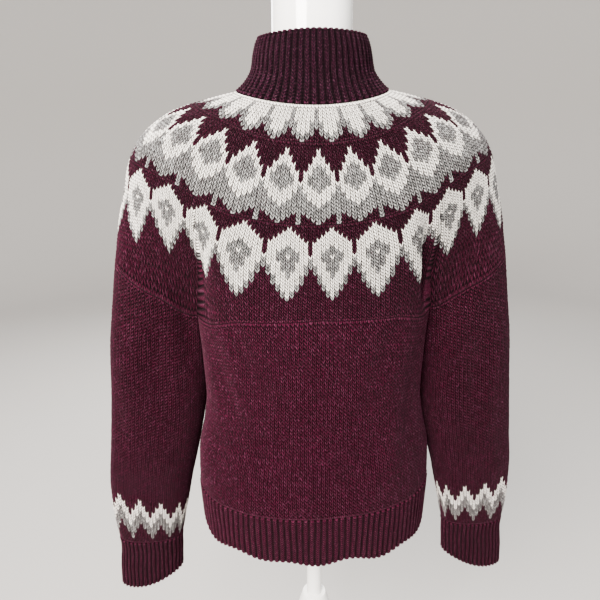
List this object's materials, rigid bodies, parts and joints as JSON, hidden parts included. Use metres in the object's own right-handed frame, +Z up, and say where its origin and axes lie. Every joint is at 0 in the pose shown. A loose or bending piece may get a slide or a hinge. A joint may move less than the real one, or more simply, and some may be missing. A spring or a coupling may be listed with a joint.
{
  "type": "fair isle zip cardigan on a dress form",
  "caption": "Knitted zip cardigan with a patterned circular yoke and ribbed stand collar, hem and cuffs, worn by a plain limbless dress form on a pole stand with a round base.",
  "frame": {"origin": "on the floor under the middle of the stand's base", "axes": "+Z up; the garment's front, with its zip, faces -Y and its back faces +Y; the wearer's left is +X; 1 unit is 1 m"},
  "size_m": [0.6572, 0.34, 1.5365],
  "materials": {
    "wool": "heathered dark maroon wool in stocking stitch, matte with a soft nap",
    "yoke_wool": "maroon, off-white and mid-grey wool in stranded colour knitting, matte",
    "rib_wool": "dark maroon wool in rib stitch, matte",
    "zip_tape": "woven twill tape, dark maroon",
    "zip_metal": "satin antique brass",
    "form_plastic": "smooth glossy white shell",
    "stand_paint": "white powder coat, semi-gloss"
  },
  "bodies": {
    "garment": {"back": "wool", "collar": "rib_wool", "cuff_left": "rib_wool", "cuff_right": "rib_wool", "form": "form_plastic", "front_left": "wool", "front_right": "wool", "hem_back": "rib_wool", "hem_left": "rib_wool", "hem_right": "rib_wool", "sleeve_left": "wool", "sleeve_right": "wool", "stand_base": "stand_paint", "stand_hub": "stand_paint", "stand_pole": "stand_paint", "stand_tube": "stand_paint", "yoke": "yoke_wool", "zip_box": "zip_metal", "zip_slider": "zip_metal", "zip_stop_left": "zip_metal", "zip_stop_right": "zip_metal", "zip_tape_left": "zip_tape", "zip_tape_right": "zip_tape", "zip_teeth_left": "zip_metal", "zip_teeth_right": "zip_metal"},
    "pull": {"zip_pull": "zip_metal"}
  },
  "joints": [
    {"name": "pull_swing", "type": "hinge", "parent": "garment", "child": "pull", "pos_m": [0, -0.06473, 1.4281], "axis": [-1, 0, 0], "range_deg": [0, 160]}
  ]
}
